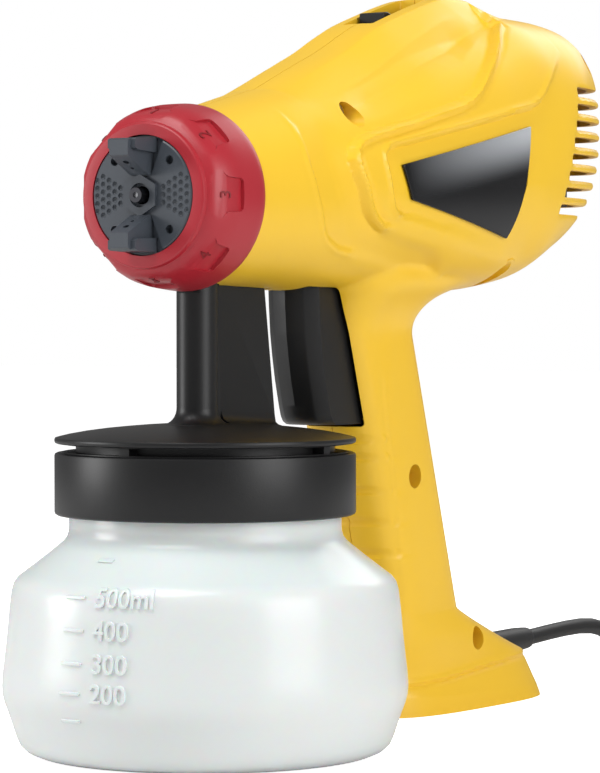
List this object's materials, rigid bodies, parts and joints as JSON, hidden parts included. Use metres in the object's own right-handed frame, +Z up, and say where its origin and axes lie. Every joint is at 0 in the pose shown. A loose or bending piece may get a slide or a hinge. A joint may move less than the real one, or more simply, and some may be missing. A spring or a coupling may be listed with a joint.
{
  "type": "handheld paint sprayer",
  "caption": "Corded handheld paint sprayer with built-in turbine, trigger, dial ring, turnable air cap, power slide and a screw-on paint cup",
  "frame": {"origin": "centre of the paint cup's flat base, on the surface it stands on", "axes": "+Z up along the cup's axis, nozzle facing -Y, +X is the gun's left side"},
  "size_m": [0.152, 0.4757, 0.2397],
  "materials": {
    "yellow_plastic": "moulded, satin, yellow",
    "black_plastic": "moulded, fine grain, black",
    "badge_plastic": "smooth, black, bare",
    "grey_plastic": "moulded, fine grain, dark grey",
    "red_plastic": "moulded, satin, dark red",
    "milky_plastic": "blow-moulded, milky white",
    "white_plastic": "moulded, white",
    "black_rubber": "soft, matt black",
    "red_rubber": "soft, red",
    "steel": "turned or stamped",
    "brass": "turned",
    "copper": "wound copper and laminations",
    "carbon": "pressed carbon",
    "filter_foam": "open foam, dark grey",
    "nickel": "nickel-plated"
  },
  "bodies": {
    "gun": {"housing_left": "yellow_plastic", "housing_right": "yellow_plastic", "housing_screws": "steel", "badge_left": "badge_plastic", "badge_right": "badge_plastic", "slide_contact_block": "black_plastic", "trigger_pin": "steel", "power_switch": "black_plastic", "capacitor": "badge_plastic", "cup_lid": "black_plastic", "vent_valve": "red_rubber", "spray_body": "black_plastic", "fluid_nozzle": "brass", "nozzle_seal": "red_rubber", "needle_spring": "steel", "needle_packing": "white_plastic", "air_duct": "black_plastic", "duct_seal": "red_rubber", "fan_case_front": "black_plastic", "fan_case_rear": "black_plastic", "motor_can": "steel", "field_stack": "copper", "brush_frame": "black_plastic", "carbon_brushes": "carbon", "bearing_front": "steel", "bearing_rear": "steel", "fan_mount_ring": "black_rubber", "motor_mount_ring": "black_rubber", "air_filter": "filter_foam", "cable_clamp": "black_plastic", "clamp_screws": "steel", "inner_cable": "black_rubber", "strain_relief": "black_rubber", "cord_run": "black_rubber", "cord_coil": "black_rubber", "cord_tail": "black_rubber", "plug_body": "black_rubber", "plug_pins": "nickel"},
    "trigger": {"trigger": "black_plastic"},
    "plunger": {"switch_plunger": "red_plastic"},
    "needle": {"needle": "steel", "needle_collar": "brass"},
    "slide": {"slide_switch": "black_plastic"},
    "dial": {"dial_ring": "red_plastic"},
    "cap": {"air_cap": "grey_plastic"},
    "cup_ride": {"cup_seal": "black_rubber"},
    "cup": {"cup": "milky_plastic", "screw_collar": "black_plastic"},
    "pickup": {"pickup_tube": "white_plastic"},
    "rotor": {"motor_shaft": "steel", "armature": "copper", "commutator": "copper", "fan_wheel": "white_plastic", "fan_nut": "steel"}
  },
  "joints": [
    {"name": "trigger_pull", "type": "hinge", "parent": "gun", "child": "trigger", "pos_m": [0, 0.06, 0.182], "axis": [1, 0, 0], "range_deg": [0, 6.5]},
    {"name": "needle_draw", "type": "slide", "parent": "gun", "child": "needle", "axis": [0, 1, 0], "range_m": [0, 0.00204], "deforming": ["needle_spring"]},
    {"name": "plunger_press", "type": "slide", "parent": "gun", "child": "plunger", "axis": [0, 1, 0], "range_m": [0, 0.00369]},
    {"name": "power_slide", "type": "slide", "parent": "gun", "child": "slide", "axis": [0, 1, 0], "range_m": [0, 0.006]},
    {"name": "dial_turn", "type": "hinge", "parent": "gun", "child": "dial", "pos_m": [0, -0.0217, 0.1686], "axis": [0, 1, 0], "range_deg": [-90, 225]},
    {"name": "cap_turn", "type": "hinge", "parent": "gun", "child": "cap", "pos_m": [0, -0.0341, 0.1686], "axis": [0, 1, 0], "range_deg": [0, 90]},
    {"name": "cup_drop", "type": "slide", "parent": "gun", "child": "cup_ride", "axis": [0, 0, -1], "range_m": [0, 0.004]},
    {"name": "cup_unscrew", "type": "hinge", "parent": "cup_ride", "child": "cup", "pos_m": [0, 0, 0.086], "axis": [0, 0, -1], "range_deg": [0, 360]},
    {"name": "pickup_turn", "type": "hinge", "parent": "gun", "child": "pickup", "pos_m": [0, -0.0046, 0.092], "axis": [0, 0, 1], "range_deg": [0, 180]},
    {"name": "rotor_spin", "type": "hinge", "parent": "gun", "child": "rotor", "pos_m": [0, 0.155, 0.188], "axis": [0, 1, 0], "continuous": true}
  ],
  "couplings": [
    {"joint": "needle_draw", "follows": "trigger_pull", "m_per_rad": 0.018},
    {"joint": "plunger_press", "follows": "trigger_pull", "m_per_rad": 0.0325},
    {"joint": "cup_drop", "follows": "cup_unscrew", "m_per_rad": 0.00063662}
  ]
}
